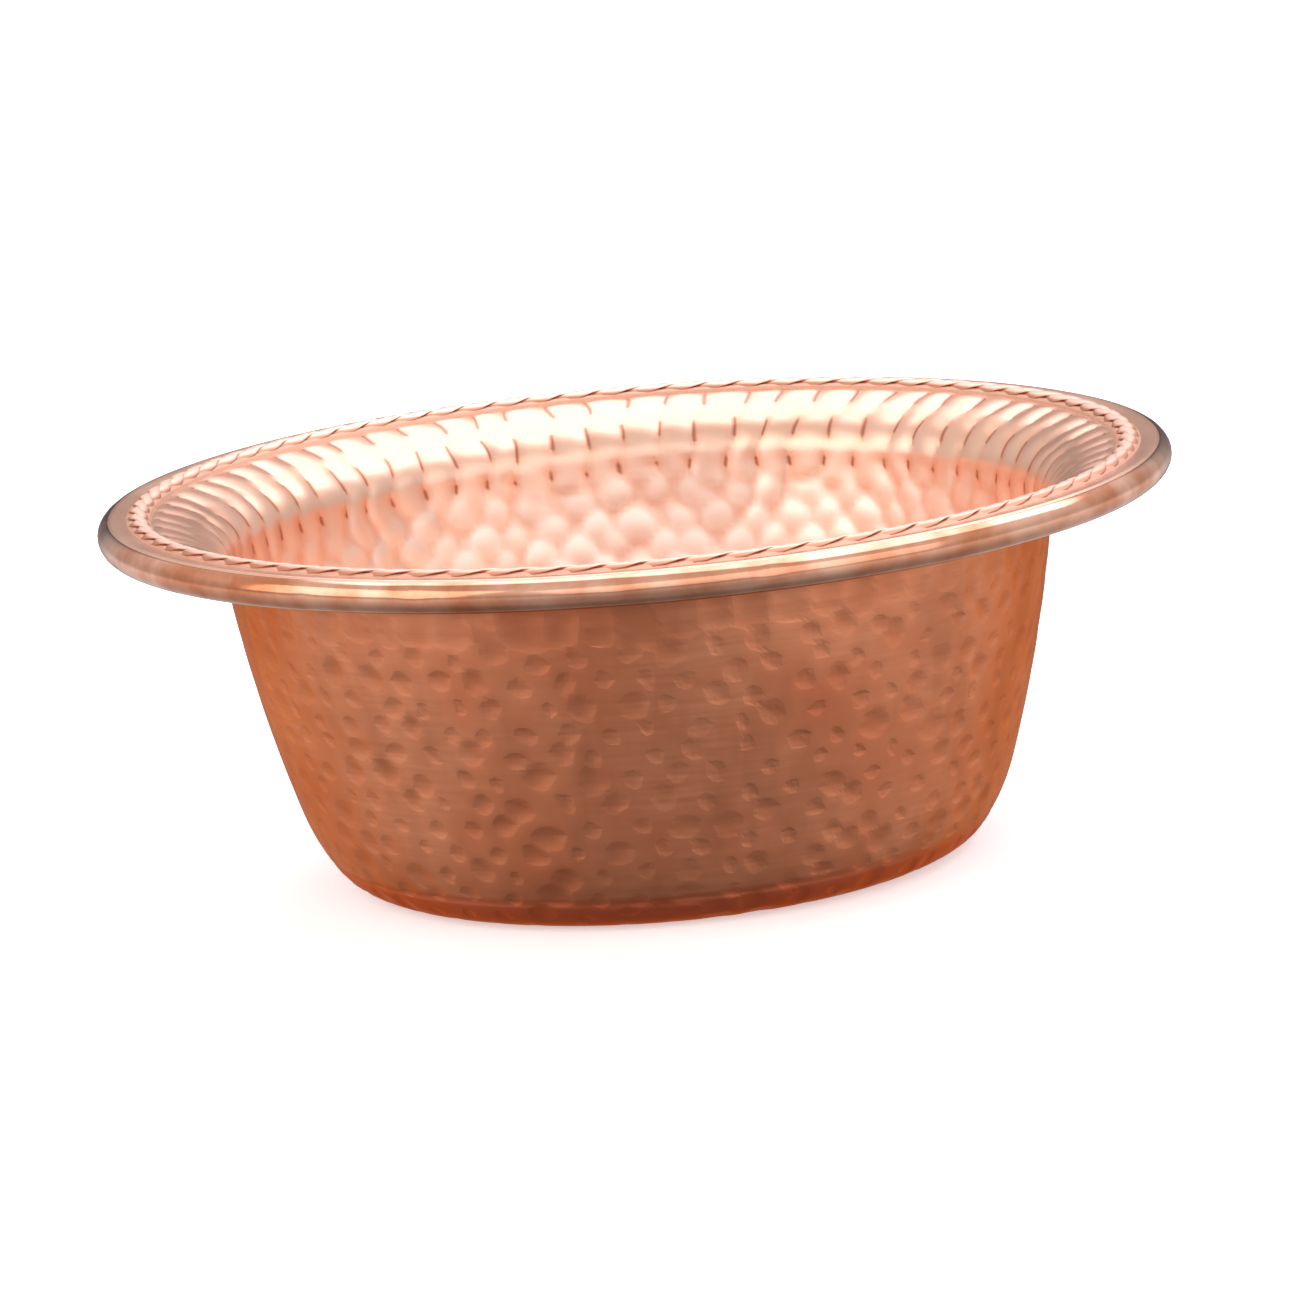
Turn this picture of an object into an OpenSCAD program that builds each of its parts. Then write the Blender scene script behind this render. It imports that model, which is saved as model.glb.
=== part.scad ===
// Hammered copper bowl with a wired edge and a twisted-wire border.
// Units are millimetres. +Z is up, and the origin is the centre of the flat base's underside.

/* [Overall] */
// Outside diameter across the rolled rim
rim_d = 250; // [247:1:254]
// Height of the rim wire's centre above the table
wire_height = 87.4; // [86.6:0.2:88.6]
// Thickness of the copper sheet
sheet_t = 1.2; // [0.9:0.1:1.4]

/* [Wall] */
// Diameter of the flat that the bowl rests on
base_d = 133; // [130:1:134]
// Radius of the heel, where the base turns up
heel_r = 13; // [11:0.5:14]
// Radius of the lower wall, above the heel
shoulder_r = 50; // [46:1:54]
// Radius of the long, slightly bulging upper wall
wall_r = 340; // [330:5:350]

/* [Flare] */
// Slope of the brim above level, in degrees
brim_slope = 9; // [7:1:12]
// Angle above level where the tight flare turns into the open one
flare_break = 35; // [30:1:38]

/* [Rolled edge] */
// Diameter of the wire inside the roll
wire_d = 5; // [4:0.5:5.5]
// Play between the wire and the sheet round it
wire_play = 0.1; // [0.05:0.05:0.2]
// How far the sheet turns round the wire, in degrees
curl_turn = 302; // [270:1:304]

/* [Rope border] */
// Mean diameter of the rope ring
rope_d = 230; // [228:0.5:231]
// Width of the rolled rope
rope_w = 5.3; // [4.6:0.1:5.6]
// Thickness of the rolled rope
rope_t = 2; // [1.6:0.1:2.2]
// Full turns of the twist round the ring; each turn shows two strands
rope_turns = 41; // [36:1:44]
// Thickness of the solder under the rope
solder_t = 0.3; // [0.2:0.05:0.4]

/* [Hidden] */
$fn = 96;

// Directions of the wall, in degrees above level, at the joints between its arcs
heel_end = 55;
shoulder_end = 72.5;
wall_end = 82.5;

// The sheet round the wire: its inner radius, and the place of the wire's centre
curl_r = wire_d / 2 + wire_play;
wire_ring_r = rim_d / 2 - curl_r - sheet_t;
curl_start = [wire_ring_r - curl_r * sin(brim_slope), wire_height + curl_r * cos(brim_slope)];

// An arc's step: turning left climbs the wall, turning right opens the flare
function left_step(r, a0, a1) = r * [sin(a1) - sin(a0), cos(a0) - cos(a1)];
function right_step(r, a0, a1) = r * [sin(a0) - sin(a1), cos(a1) - cos(a0)];

// The joints of the outside of the wall, from the base to the neck
p_base = [base_d / 2, 0];
p_heel = p_base + left_step(heel_r, 0, heel_end);
p_shoulder = p_heel + left_step(shoulder_r, heel_end, shoulder_end);
p_neck = p_shoulder + left_step(wall_r, shoulder_end, wall_end);

// The flare is a tight arc, an open arc and a straight brim that meets the curl at a tangent.
// The tight radius is chosen, and the open radius and the brim's length close the gap.
flare_r = 10;
p_tight = p_neck + right_step(flare_r, wall_end, flare_break);
gap = curl_start - p_tight;
open_unit = right_step(1, flare_break, brim_slope);
brim_unit = [cos(brim_slope), sin(brim_slope)];
gap_det = open_unit[0] * brim_unit[1] - open_unit[1] * brim_unit[0];
open_r = (gap[0] * brim_unit[1] - gap[1] * brim_unit[0]) / gap_det;
p_open = p_tight + open_r * open_unit;

// Points along one arc, without its first one; shift is the distance to the left of the chain
function left_arc(p, r, a0, a1, shift, steps) =
    [for (i = [1:steps]) let (a = a0 + (a1 - a0) * i / steps)
        p + left_step(r, a0, a) + shift * [-sin(a), cos(a)]];
function right_arc(p, r, a0, a1, shift, steps) =
    [for (i = [1:steps]) let (a = a0 + (a1 - a0) * i / steps)
        p + right_step(r, a0, a) + shift * [-sin(a), cos(a)]];

// One face of the sheet from the axis to the cut edge: shift 0 is outside, sheet_t is inside
function face_line(shift) = concat(
    [[0, shift], p_base + [0, shift]],
    left_arc(p_base, heel_r, 0, heel_end, shift, 8),
    left_arc(p_heel, shoulder_r, heel_end, shoulder_end, shift, 6),
    left_arc(p_shoulder, wall_r, shoulder_end, wall_end, shift, 12),
    right_arc(p_neck, flare_r, wall_end, flare_break, shift, 8),
    right_arc(p_tight, open_r, flare_break, brim_slope, shift, 6),
    [curl_start + shift * [-sin(brim_slope), cos(brim_slope)]],
    right_arc(curl_start, curl_r, brim_slope, brim_slope - curl_turn, shift, 36));

function reversed(points) = [for (i = [len(points) - 1:-1:0]) points[i]];

// A place on the brim's upper face, at a radius and a height above that face
function on_brim(r, up) =
    [r, p_open[1] + (r - p_open[0]) * tan(brim_slope) + (sheet_t + up) / cos(brim_slope)];

// The rope's section: each strand is a flattened round, half the rope away from its centre line
strand_sides = 8;
rings_per_turn = 8;
strand_fill = 0.94;
rope_mid = on_brim(rope_d / 2, solder_t + rope_t / 2);
solder_w = 0.7 * rope_w;

// A point of the rope in the plane of its section, turned to lie along the brim's slope
function rope_point(across, up) =
    rope_mid + across * brim_unit + up * [-sin(brim_slope), cos(brim_slope)];

function strand_ring(twist, around) = [for (k = [0:strand_sides - 1])
    let (side = 360 * k / strand_sides)
    let (across = rope_w / 4 * (cos(twist) + strand_fill * cos(side)))
    let (up = rope_t / 4 * (sin(twist) + strand_fill * sin(side)))
    let (p = rope_point(across, up))
    [p[0] * cos(around), p[0] * sin(around), p[1]]];

// One strand of the rope: a closed ring of short tubes that winds round the rope's centre line
module strand(first_twist) {
    rings = rope_turns * rings_per_turn;
    points = [for (i = [0:rings - 1])
        each strand_ring(first_twist + 360 * i / rings_per_turn, 360 * i / rings)];
    faces = [for (i = [0:rings - 1]) for (k = [0:strand_sides - 1])
        let (a = i * strand_sides)
        let (b = ((i + 1) % rings) * strand_sides)
        let (n = (k + 1) % strand_sides)
        each [[a + k, a + n, b + n], [a + k, b + n, b + k]]];
    polyhedron(points = points, faces = faces);
}

// The raised copper sheet: base, heel, wall, flare, brim and rolled edge in one piece
module bowl_shell() {
    color("#c4764e")
        rotate_extrude()
            polygon(concat(face_line(0), reversed(face_line(sheet_t))));
}

// The round wire that stiffens the rolled edge
module rim_wire() {
    color("#b5653c")
        rotate_extrude()
            translate([wire_ring_r, wire_height])
                circle(d = wire_d);
}

// The first wire of the rope border
module rope_strand_a() {
    color("#d68a66")
        strand(0);
}

// The second wire of the rope border, half a turn behind the first
module rope_strand_b() {
    color("#c97b56")
        strand(180);
}

// The flat bed of solder between the rope and the brim
module rope_solder() {
    color("#a89a8c")
        rotate_extrude()
            polygon([
                on_brim((rope_d - solder_w) / 2, 0),
                on_brim((rope_d + solder_w) / 2, 0),
                on_brim((rope_d + solder_w) / 2, solder_t),
                on_brim((rope_d - solder_w) / 2, solder_t)]);
}

bowl_shell();
rim_wire();
rope_strand_a();
rope_strand_b();
rope_solder();
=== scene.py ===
# %% [markdown]
# # A hammered copper bowl
#
# The real bowl is one disc of copper sheet, raised with hammers into a flat base, a rounded heel, a
# bulging wall and a flared brim. Its edge is rolled round a wire, and a rope of two twisted wires is
# soldered on the brim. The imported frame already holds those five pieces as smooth, exact solids. This
# lesson keeps their places and sizes, and adds what the hammer, the roller and the years have done.

# %% Load the frame
import math

import bpy
import numpy as np
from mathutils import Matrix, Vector


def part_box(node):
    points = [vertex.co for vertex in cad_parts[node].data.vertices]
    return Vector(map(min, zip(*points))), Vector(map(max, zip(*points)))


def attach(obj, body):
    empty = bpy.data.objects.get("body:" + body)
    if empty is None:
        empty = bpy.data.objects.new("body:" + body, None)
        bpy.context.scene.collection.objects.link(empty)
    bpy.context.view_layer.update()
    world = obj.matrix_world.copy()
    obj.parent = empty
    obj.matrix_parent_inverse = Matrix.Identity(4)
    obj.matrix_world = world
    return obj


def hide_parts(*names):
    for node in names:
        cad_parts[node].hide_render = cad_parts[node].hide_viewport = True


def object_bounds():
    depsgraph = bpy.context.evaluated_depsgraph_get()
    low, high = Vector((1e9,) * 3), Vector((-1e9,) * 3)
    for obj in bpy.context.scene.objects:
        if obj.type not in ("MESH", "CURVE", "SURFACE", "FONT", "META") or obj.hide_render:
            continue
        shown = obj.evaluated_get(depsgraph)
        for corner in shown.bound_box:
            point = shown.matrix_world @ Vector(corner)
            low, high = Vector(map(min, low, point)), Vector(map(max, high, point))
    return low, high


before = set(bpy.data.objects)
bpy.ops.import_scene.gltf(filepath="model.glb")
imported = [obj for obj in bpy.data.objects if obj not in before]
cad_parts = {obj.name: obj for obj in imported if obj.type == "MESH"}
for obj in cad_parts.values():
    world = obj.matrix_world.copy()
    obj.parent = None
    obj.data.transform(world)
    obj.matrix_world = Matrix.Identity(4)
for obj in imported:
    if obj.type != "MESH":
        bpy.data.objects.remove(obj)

cad_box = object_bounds()
print("CAD nodes:", ", ".join(sorted(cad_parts)))

# %% [markdown]
# ## Real sizes, read from the frame
#
# Nothing is measured twice. The wire's box gives the place of the rolled edge, the sheet's own points
# give its thickness and the width of its flat base, and the strands' boxes give the rope. Lengths are
# worked in millimetres, because a coppersmith does, and turned to metres when a point is placed.

# %% Sizes of the pieces
MM = 0.001
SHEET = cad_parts["bowl_shell"]


def points_of(piece):
    """The piece's points as rows of x, y, z in millimetres."""
    flat = np.zeros(len(piece.data.vertices) * 3, np.float32)
    piece.data.vertices.foreach_get("co", flat)
    return flat.reshape(-1, 3).astype(float) / MM


def box_mm(node):
    """Lowest and highest corner of a CAD node in millimetres."""
    low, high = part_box(node)
    return np.array(low) / MM, np.array(high) / MM


sheet_points = points_of(SHEET)
sheet_reach = np.hypot(sheet_points[:, 0], sheet_points[:, 1])
wire_low, wire_high = box_mm("rim_wire")

# Heights within a hair of each other are the same, and sizes are rounded to one decimal
HAIR = 0.01
TENTH = 1
near_base = sheet_points[:, 2] < HAIR
base_radius = round(sheet_reach[near_base].max(), TENTH)
inner_base = (sheet_reach < base_radius + HAIR) & ~near_base
sheet_t = round(sheet_points[inner_base][:, 2].min(), TENTH)
rim_radius = round(box_mm("bowl_shell")[1][0], TENTH)
wire_radius = round((wire_high[2] - wire_low[2]) / 2, TENTH)
wire_height = round((wire_high[2] + wire_low[2]) / 2, TENTH)
wire_ring = round(wire_high[0] - wire_radius, TENTH)
curl_radius = rim_radius - sheet_t - wire_ring
print(f"rim {2 * rim_radius:.1f}, base {2 * base_radius:.1f}, sheet {sheet_t:.2f}, "
      f"bead {2 * (rim_radius - wire_ring):.1f} mm")

# %% [markdown]
# ## The section of the sheet
#
# A raised bowl has one section all round, so it is drawn once and spun. The section is a walk along
# the outside of the sheet: a straight base, arcs that turn left up the wall, arcs that turn right over
# the flare, a short straight brim, and one last arc round the wire. The heading changes evenly along an
# arc, so adding up the cosine and sine of the heading gives every place on the walk, and the inside
# face is one sheet's thickness to its left. The open arc of the flare and the brim take whatever
# length closes the gap between the neck and the roll.

# %% Walk along the outside of the sheet
# Radii of the arcs, the headings above level where they meet, and how far the roll turns
HEEL_RADIUS, SHOULDER_RADIUS, WALL_RADIUS, FLARE_RADIUS = 13.0, 50.0, 340.0, 10.0
HEEL_END, SHOULDER_END, WALL_END = map(math.radians, (55.0, 72.5, 82.5))
FLARE_BREAK, BRIM_SLOPE, CURL_TURN = map(math.radians, (35.0, 9.0, 302.0))


def turn(radius, a0, a1):
    """Step across an arc whose heading goes from a0 to a1: left when it climbs, right when it flattens."""
    side = 1 if a1 > a0 else -1
    return side * radius * np.array([math.sin(a1) - math.sin(a0), math.cos(a0) - math.cos(a1)])


neck = np.array([base_radius, 0.0])
neck += turn(HEEL_RADIUS, 0, HEEL_END)
neck += turn(SHOULDER_RADIUS, HEEL_END, SHOULDER_END)
neck += turn(WALL_RADIUS, SHOULDER_END, WALL_END)
tight_end = neck + turn(FLARE_RADIUS, WALL_END, FLARE_BREAK)
curl_start = np.array([wire_ring - curl_radius * math.sin(BRIM_SLOPE),
                       wire_height + curl_radius * math.cos(BRIM_SLOPE)])
brim_unit = np.array([math.cos(BRIM_SLOPE), math.sin(BRIM_SLOPE)])
open_radius, brim_length = np.linalg.solve(
    np.column_stack([turn(1.0, FLARE_BREAK, BRIM_SLOPE), brim_unit]), curl_start - tight_end)

# Each stretch of the walk: its length, and the heading where it starts and ends
stretches = [
    (base_radius, 0, 0),
    (HEEL_RADIUS * HEEL_END, 0, HEEL_END),
    (SHOULDER_RADIUS * (SHOULDER_END - HEEL_END), HEEL_END, SHOULDER_END),
    (WALL_RADIUS * (WALL_END - SHOULDER_END), SHOULDER_END, WALL_END),
    (FLARE_RADIUS * (WALL_END - FLARE_BREAK), WALL_END, FLARE_BREAK),
    (open_radius * (FLARE_BREAK - BRIM_SLOPE), FLARE_BREAK, BRIM_SLOPE),
    (brim_length, BRIM_SLOPE, BRIM_SLOPE),
    (curl_radius * CURL_TURN, BRIM_SLOPE, BRIM_SLOPE - CURL_TURN),
]
joints = np.concatenate([[0], np.cumsum([length for length, a0, a1 in stretches])])
base_end, heel_end, shoulder_end, neck_end, flare_mid, flare_end, brim_end, cut_edge = joints[1:]

WALK_STEP = 0.02
walk = np.arange(0, cut_edge + WALK_STEP, WALK_STEP)
middle = (walk[:-1] + walk[1:]) / 2
stretch_of = np.clip(np.searchsorted(joints, middle, side="right") - 1, 0, len(stretches) - 1)
lengths, starts, ends = (np.array(column)[stretch_of] for column in zip(*stretches))
heading_middle = starts + (ends - starts) * (middle - joints[stretch_of]) / lengths
walk_r = np.concatenate([[0], np.cumsum(np.cos(heading_middle))]) * WALK_STEP
walk_z = np.concatenate([[0], np.cumsum(np.sin(heading_middle))]) * WALK_STEP
walk_heading = np.interp(walk, middle, heading_middle)


def on_sheet(s, shift):
    """Radius, height and heading at a distance s along the walk, a shift to the left of it."""
    a = np.interp(s, walk, walk_heading)
    r = np.interp(s, walk, walk_r) - shift * np.sin(a)
    z = np.interp(s, walk, walk_z) + shift * np.cos(a)
    return r, z, a


def at_height(z):
    """Distance along the walk where the wall reaches a height."""
    rising = walk < brim_end
    return float(np.interp(z, walk_z[rising], walk[rising]))


def at_radius(r):
    """Distance along the walk where the sheet reaches a radius."""
    opening = walk < brim_end
    return float(np.interp(r, walk_r[opening], walk[opening]))


print(f"sheet {cut_edge:.1f} mm from centre to cut edge, "
      f"flare opens on {open_radius:.1f} mm, brim {brim_length:.1f} mm")

# %% [markdown]
# ## Stations along both faces
#
# The mesh needs a line of points wherever something small happens and few where nothing does. The
# hammered wall gets one about every 1.4 mm, so that each blow is four or five faces wide. The bead and
# the chased line on it get more, and the underside of the base, which sits on the table, gets few.

# %% Stations on the outside and the inside
# How far the chased line lies in from the widest place of the rim
GROOVE_INSET = 2.7
FLUTES, FACES_PER_FLUTE = 70, 6
AROUND = FLUTES * FACES_PER_FLUTE


def stations(*runs):
    """Distances from the first run's start, each run as (where it ends, its spacing)."""
    marks = [0.0]
    for end, spacing in runs:
        count = max(1, round((end - marks[-1]) / spacing))
        marks += list(np.linspace(marks[-1], end, count + 1)[1:])
    return np.array(marks)


groove_turn = math.asin((rim_radius - GROOVE_INSET - wire_ring) / (curl_radius + sheet_t))
groove_s = brim_end + curl_radius * (groove_turn + BRIM_SLOPE)
# Each run is where it ends on the walk, and how far apart its stations are
outside_marks = stations((base_end - 2, 7.0), (heel_end + 1, 1.7), (heel_end + 5, 0.8), (neck_end, 1.4),
                         (flare_mid, 1.6), (brim_end, 3.0), (cut_edge, 1.6))
inside_marks = stations((base_end - 2, 2.6), (heel_end, 1.6), (neck_end, 1.4), (flare_mid, 1.0),
                        (at_radius(112), 1.05), (at_radius(118), 2.0), (brim_end, 0.9),
                        (groove_s - 0.45, 0.5), (groove_s + 0.45, 0.15), (cut_edge, 0.62))

face_s = np.concatenate([outside_marks, inside_marks[::-1]])
face_inside = np.concatenate([np.zeros(len(outside_marks), bool), np.ones(len(inside_marks), bool)])
face_shift = np.where(face_inside, sheet_t, 0.0)
face_r, face_z, face_heading = on_sheet(face_s, face_shift)
face_r[[0, -1]] = 0.0
print(f"{len(face_s)} stations, {2 * AROUND * (len(face_s) - 1)} triangles when spun {AROUND} times")

# %% [markdown]
# ## Modelling the sheet
#
# By hand this is the classic lathe: one point on the axis, extruded along the section, then Spin. A
# screw modifier would do the same, but Spin leaves a plain mesh to hammer at once. The two ends of the
# section lie on the axis, so merging doubles closes both poles, and only then are the faces turned
# outwards, as the spin may leave them inside out.

# %% Helpers for modelling by hand
def alone(piece):
    """Select one piece and nothing else, and make it the active one."""
    bpy.ops.object.select_all(action="DESELECT")
    piece.select_set(True)
    bpy.context.view_layer.objects.active = piece


def place_points(piece, points):
    """Give the piece its points back, as rows of x, y, z in millimetres."""
    piece.data.vertices.foreach_set("co", (points * MM).astype(np.float32).ravel())
    piece.data.update()


def count_triangles(piece):
    """How many triangles the piece's faces make."""
    return sum(len(face.vertices) - 2 for face in piece.data.polygons)


# %% Extrude the section and spin it
# Points closer than this become one point
WELD = 0.02


def spin_section(name, section_r, section_z, steps):
    """A piece spun from its section: one point, extruded along it, then turned once round the axis."""
    bpy.ops.object.select_all(action="DESELECT")
    bpy.ops.mesh.primitive_plane_add(size=MM, location=(0, 0, 0))
    piece = bpy.context.object
    piece.name = piece.data.name = name
    bpy.ops.object.mode_set(mode="EDIT")
    bpy.ops.mesh.select_mode(type="VERT")
    bpy.ops.mesh.select_all(action="SELECT")
    bpy.ops.mesh.merge(type="CENTER")
    bpy.ops.transform.translate(value=(section_r[0] * MM, 0, section_z[0] * MM))
    for step_r, step_z in zip(np.diff(section_r), np.diff(section_z)):
        step = (step_r * MM, 0, step_z * MM)
        bpy.ops.mesh.extrude_region_move(TRANSFORM_OT_translate={"value": step})
    bpy.ops.mesh.select_all(action="SELECT")
    bpy.ops.mesh.spin(steps=steps, angle=2 * math.pi, center=(0, 0, 0), axis=(0, 0, 1))
    bpy.ops.mesh.select_all(action="SELECT")
    bpy.ops.mesh.remove_doubles(threshold=WELD * MM)
    bpy.ops.mesh.normals_make_consistent(inside=False)
    bpy.ops.object.mode_set(mode="OBJECT")
    return piece


hammered_sheet = spin_section("hammered_sheet", face_r, face_z, AROUND)
print(f"hammered_sheet: {len(hammered_sheet.data.vertices)} points, "
      f"{count_triangles(hammered_sheet)} triangles")

# %% [markdown]
# ## The hammer's rows
#
# The smith works in rows. Round the flare the cross-peen leaves long flutes that point at the centre,
# in three tiers, each a little further round than the last, so that the lines run in a slow S. Below
# them a ball-faced hammer leaves round blows, row under row, down the wall and over the base. The
# number of blows in a row follows its radius, which keeps them about 10 mm apart. On the wall the rows
# are staggered, and on the base they start anywhere, or the blows would line up like spokes. A hand is
# never exact, so each blow is a little off its place and a little harder or softer than the next.

# %% A row of blows
# How far apart the blows of a row are, how far apart the rows are, and how much further on the base
PITCH, ROW_GAP, BASE_SPREAD = 10.0, 6.1, 1.35
# Limits of the draw for a flute's length, and for how hard a blow is
SHORTEST, LONGEST = 0.85, 1.1
SOFTEST, HARDEST = 0.65, 1.0
rng = np.random.default_rng(7)


def blow_row(s, half_length, count, phase, stray, drift=0.0):
    """A row of blows: where each falls round the bowl and along the sheet, how long and how hard."""
    return {
        "s": s + rng.normal(0, stray, count),
        "theta": (np.arange(count) + phase + rng.normal(0, 1, count) * drift) * 2 * math.pi / count,
        "half": half_length * rng.uniform(SHORTEST, LONGEST, count),
        "force": rng.uniform(SOFTEST, HARDEST, count),
        "lightness": rng.uniform(0.0, 1.0, count),
        "count": count,
        "phase": phase,
        "long": half_length,
    }


# %% One list of rows for both faces
flute_top, flute_joint = at_radius(111.2), at_radius(103.4)
flute_waist, flute_foot = at_height(78.5), at_height(71.0)
TIER_STEP = 1 / FACES_PER_FLUTE
# Each tier's upper and lower end, how far its flutes reach past them, and how far they stray
TIERS = (
    (flute_top, flute_joint, 0.6, 0.3),
    (flute_joint, flute_waist, 0.5, 0.5),
    (flute_waist, flute_foot, -0.6, 0.8),
)
rows = [blow_row((upper + lower) / 2, (upper - lower) / 2 + past, FLUTES, number * TIER_STEP, stray)
        for number, (upper, lower, past, stray) in enumerate(TIERS)]

# How far round blows stray along the sheet, in mm, and round their row, in steps of the row
BLOW_STRAY, BLOW_DRIFT = 0.75, 0.08
# A wall row's count is a multiple of this, so that its stagger lasts from row to row
WALL_SECTORS = 6
row_s = flute_foot - ROW_GAP * 0.5
stagger = 0.0
while row_s > PITCH / 2:
    row_radius = float(on_sheet(row_s, 0)[0])
    if row_s > base_end:
        count = WALL_SECTORS * round(2 * math.pi * row_radius / (WALL_SECTORS * PITCH))
        stagger = 0.5 - stagger
    else:
        count = round(2 * math.pi * row_radius / PITCH)
        stagger = rng.uniform(0, 1)
    rows.append(blow_row(row_s, 0.0, count, stagger, BLOW_STRAY, drift=BLOW_DRIFT))
    row_s -= ROW_GAP if row_s > base_end else ROW_GAP * BASE_SPREAD
print(f"{len(rows)} rows, {sum(row['count'] for row in rows)} blows")

# %% [markdown]
# ## How high the metal stands after the blows
#
# A point belongs to whichever blow reaches it most. Taking the highest of the neighbouring blows, each
# a shallow dome, gives round pillows that meet in sharp valleys, which is what hammered sheet looks
# like from the side it was pushed towards. The same rows with a shorter reach give separate dents,
# which is how the struck side looks.

# %% The field of blows
# A flute ends more steeply than its sides fall, and a row is looked for this far beyond its reach
FLUTE_END_STEEPNESS, ROW_MARGIN = 1.6, 2.5
# Where blows are uneven, the lightest ones are the smallest and the shallowest
SMALLER, LARGER, SHALLOWER = 0.75, 0.3, 0.7


def blow_field(theta, s, radius, reach, uneven):
    """How far up the dome of the best blow each point lies, 0 to 1, and its way to the nearest blow."""
    height = np.zeros(len(s))
    nearest = np.full(len(s), 2 * reach)
    for row in rows:
        near = np.abs(s - row["s"].mean()) < row["long"] + 2 * reach + ROW_MARGIN
        turns = theta[near] * row["count"] / (2 * math.pi) - row["phase"]
        # Flutes touch side by side at every radius, and round blows keep their size
        width = reach * row["count"] / math.pi if row["long"] else radius[near]
        end_steepness = FLUTE_END_STEEPNESS if row["long"] else 1.0
        for neighbour in (-1, 0, 1):
            blow = (np.round(turns).astype(int) + neighbour) % row["count"]
            light = row["lightness"][blow]
            apart = (theta[near] - row["theta"][blow] + math.pi) % (2 * math.pi) - math.pi
            along = np.maximum(np.abs(s[near] - row["s"][blow]) - row["half"][blow], 0) * end_steepness
            way = np.hypot(apart * width, along) * (1 + uneven * (SMALLER * light - LARGER))
            force = row["force"][blow] * (1 - SHALLOWER * uneven * light)
            height[near] = np.maximum(height[near], force * (1 - (way / reach) ** 2))
            nearest[near] = np.minimum(nearest[near], way)
    return height, nearest


# The weakest wave of a ripple, where the strongest is 1
LEAST_WAVE = 0.4


def ripple(theta, waves, seed):
    """A smooth unevenness of so many waves round the bowl, between -1 and 1, that closes on itself."""
    draw = np.random.default_rng(seed)
    total = sum(draw.uniform(LEAST_WAVE, 1.0) * np.sin(wave * theta + draw.uniform(0, 2 * math.pi))
                for wave in waves)
    return total / len(waves)


def smooth_step(value, low, high):
    """0 below low, 1 above high, and a soft rise between them."""
    t = np.clip((value - low) / (high - low), 0, 1)
    return t * t * (3 - 2 * t)


# %% [markdown]
# ## Striking the sheet
#
# Each point is moved along the sheet's own normal. Inside, the pillows stand up to six tenths of a
# millimetre. Outside, the dents are up to half a millimetre deep, ragged, and less than half as deep
# where the wall was planished smooth afterwards, in front and in a few other places. A line runs round
# the wall just above the heel, where it was last trued on a stake. The points also wander a little
# round the bowl, so that no two flutes are equally wide, and the wall is up to a quarter of a
# millimetre out of round, always inwards, so that the bowl keeps the size of its frame.

# %% Find each point's station
points = points_of(hammered_sheet)
theta = np.arctan2(points[:, 1], points[:, 0])
radius = np.hypot(points[:, 0], points[:, 1])
station = np.zeros(len(points), int)
BATCH = 20000
for first in range(0, len(points), BATCH):
    part = slice(first, first + BATCH)
    gaps = (radius[part, None] - face_r) ** 2 + (points[part, 2, None] - face_z) ** 2
    station[part] = gaps.argmin(axis=1)

s = face_s[station]
inside = face_inside[station]
heading = face_heading[station]
print(f"{len(points)} points, {int(inside.sum())} of them on the inside")

# %% Pillows inside
PILLOW_HEIGHT, PILLOW_REACH = 0.62, 5.5
TOP_FADE = 1.5
pillow, pillow_way = blow_field(theta, s, radius, PILLOW_REACH, 0.0)
hammered_top = 1 - smooth_step(s, flute_top, flute_top + TOP_FADE)
rise = np.where(inside, PILLOW_HEIGHT * pillow * hammered_top, 0.0)
print(f"pillows up to {rise.max():.2f} mm")

# %% Dents and the trued line outside
DENT_DEPTH, DENT_REACH = 0.5, 2.8
RAGGED_ROUND, RAGGED_ALONG = 0.012, 0.9
ragged_theta = theta + RAGGED_ROUND * ripple(theta + s / 6, (37, 53, 71), 61)
ragged_s = s + RAGGED_ALONG * ripple(theta - s / 9, (29, 41, 59), 63)
dent, dent_way = blow_field(ragged_theta, ragged_s, radius, DENT_REACH, 1.0)

# Planished places: how much of a dent they take off, and where, how wide and how strong the front one is
PLANISHED_OFF = 0.55
FRONT, FRONT_HALF, FRONT_FORCE = -1.5, 0.35, 0.9
in_front = np.exp(-(((theta - FRONT) / FRONT_HALF) ** 2))
worn = smooth_step(ripple(theta, (2, 3, 5, 7), 3) + FRONT_FORCE * in_front, 0.0, 0.7)
on_wall = smooth_step(s, base_end, heel_end)
planished = 1 - PLANISHED_OFF * worn * on_wall

LINE_HEIGHT, LINE_WAVE, LINE_HALF, LINE_DEPTH = 7.6, 0.8, 0.55, 0.4
line_s = at_height(LINE_HEIGHT) + LINE_WAVE * ripple(theta, (3, 5, 8, 13), 11)
line = np.exp(-(((s - line_s) / LINE_HALF) ** 2)) * smooth_step(ripple(theta, (2, 5, 9), 5), -0.5, 0.3)

# Only a third of a dent is left on the side that slides on the table
TABLE_SHARE = 0.35
below_flutes = 1 - smooth_step(s, neck_end + 2, flare_mid)
table_side = TABLE_SHARE + (1 - TABLE_SHARE) * on_wall
struck = DENT_DEPTH * dent * planished * below_flutes * table_side
sink = np.where(inside, 0.0, struck + LINE_DEPTH * line)
print(f"dents up to {sink.max():.2f} mm")

# %% Chase the line on the bead and move every point
GROOVE_DEPTH, GROOVE_HALF = 0.28, 0.3
# The outer face of the roll is this much longer than the walk below it
ROLL_STRETCH = 1.46
groove = inside * GROOVE_DEPTH * np.exp(-(((s - groove_s) / (GROOVE_HALF / ROLL_STRETCH)) ** 2))

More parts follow.
